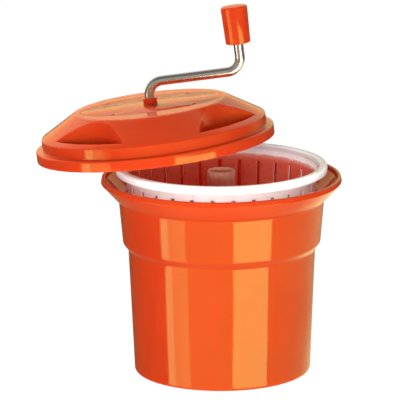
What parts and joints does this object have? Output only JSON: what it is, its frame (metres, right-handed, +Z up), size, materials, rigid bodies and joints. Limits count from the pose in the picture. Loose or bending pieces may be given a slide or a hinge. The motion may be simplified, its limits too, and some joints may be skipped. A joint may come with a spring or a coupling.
{
  "type": "salad spinner",
  "caption": "Hand-cranked salad spinner: flared bucket, slotted basket on a floor pin, and a domed lid with a bent steel crank and a step-up gear train.",
  "frame": {"origin": "centre of the bucket's underside, at the resting plane", "axes": "+Z up along the bucket's and basket's axis, -Y the front, +X to the right; the lid lies across the left half"},
  "size_m": [0.4224, 0.3336, 0.514],
  "materials": {
    "orange_plastic": "glossy moulded polypropylene",
    "red_orange_plastic": "glossy moulded plastic, redder than the lid",
    "white_plastic": "translucent natural polypropylene, satin",
    "nylon": "natural nylon, satin",
    "grey_plastic": "light grey moulded plastic, satin",
    "stainless": "polished stainless steel",
    "bronze": "sintered bronze bearing, dull"
  },
  "bodies": {
    "bucket": {"bucket": "orange_plastic", "pivot_pin": "stainless", "pivot_washer": "nylon"},
    "basket": {"basket": "white_plastic", "basket_column": "white_plastic", "basket_bearing": "nylon"},
    "lid": {"lid_shell": "orange_plastic", "top_plate": "orange_plastic", "cover_screw_1": "stainless", "cover_screw_2": "stainless", "cover_screw_3": "stainless", "cover_screw_4": "stainless", "gear_housing": "grey_plastic", "crank_bush": "nylon", "hub_bush": "bronze", "idler_pin_left": "stainless", "idler_pin_right": "stainless", "idler_clip_left": "stainless", "idler_clip_right": "stainless"},
    "crank": {"crank_arm": "stainless", "crank_collar": "red_orange_plastic", "crank_gear": "nylon", "crank_pin": "stainless", "grip_clip": "stainless"},
    "grip": {"grip": "orange_plastic", "grip_sleeve": "nylon"},
    "idler_left": {"idler_gear_left": "nylon"},
    "idler_right": {"idler_gear_right": "nylon"},
    "drive_hub": {"drive_hub": "nylon"}
  },
  "joints": [
    {"name": "basket_spin", "type": "hinge", "parent": "bucket", "child": "basket", "pos_m": [0, 0, 0.045], "axis": [0, 0, 1], "continuous": true},
    {"name": "lid_lift", "type": "slide", "parent": "bucket", "child": "lid", "axis": [0, 0, 1], "range_m": [0, 0.3]},
    {"name": "crank_turn", "type": "hinge", "parent": "lid", "child": "crank", "pos_m": [-0.09339, 0.00108, 0.34708], "axis": [-0.1149, 0.0366, 0.9927], "continuous": true},
    {"name": "grip_spin", "type": "hinge", "parent": "crank", "child": "grip", "pos_m": [0.02443, 0.01152, 0.46006], "axis": [-0.1149, 0.0366, 0.9927], "continuous": true},
    {"name": "idler_left_turn", "type": "hinge", "parent": "lid", "child": "idler_left", "pos_m": [-0.13448, -0.0047, 0.31283], "axis": [-0.1149, 0.0366, 0.9927], "continuous": true},
    {"name": "idler_right_turn", "type": "hinge", "parent": "lid", "child": "idler_right", "pos_m": [-0.04552, 0.0047, 0.32277], "axis": [-0.1149, 0.0366, 0.9927], "continuous": true},
    {"name": "hub_turn", "type": "hinge", "parent": "lid", "child": "drive_hub", "pos_m": [-0.08948, -0.00016, 0.31333], "axis": [-0.1149, 0.0366, 0.9927], "continuous": true}
  ],
  "couplings": [
    {"joint": "idler_left_turn", "follows": "crank_turn", "ratio": -2},
    {"joint": "idler_right_turn", "follows": "crank_turn", "ratio": -2},
    {"joint": "hub_turn", "follows": "crank_turn", "ratio": 3.1429}
  ]
}
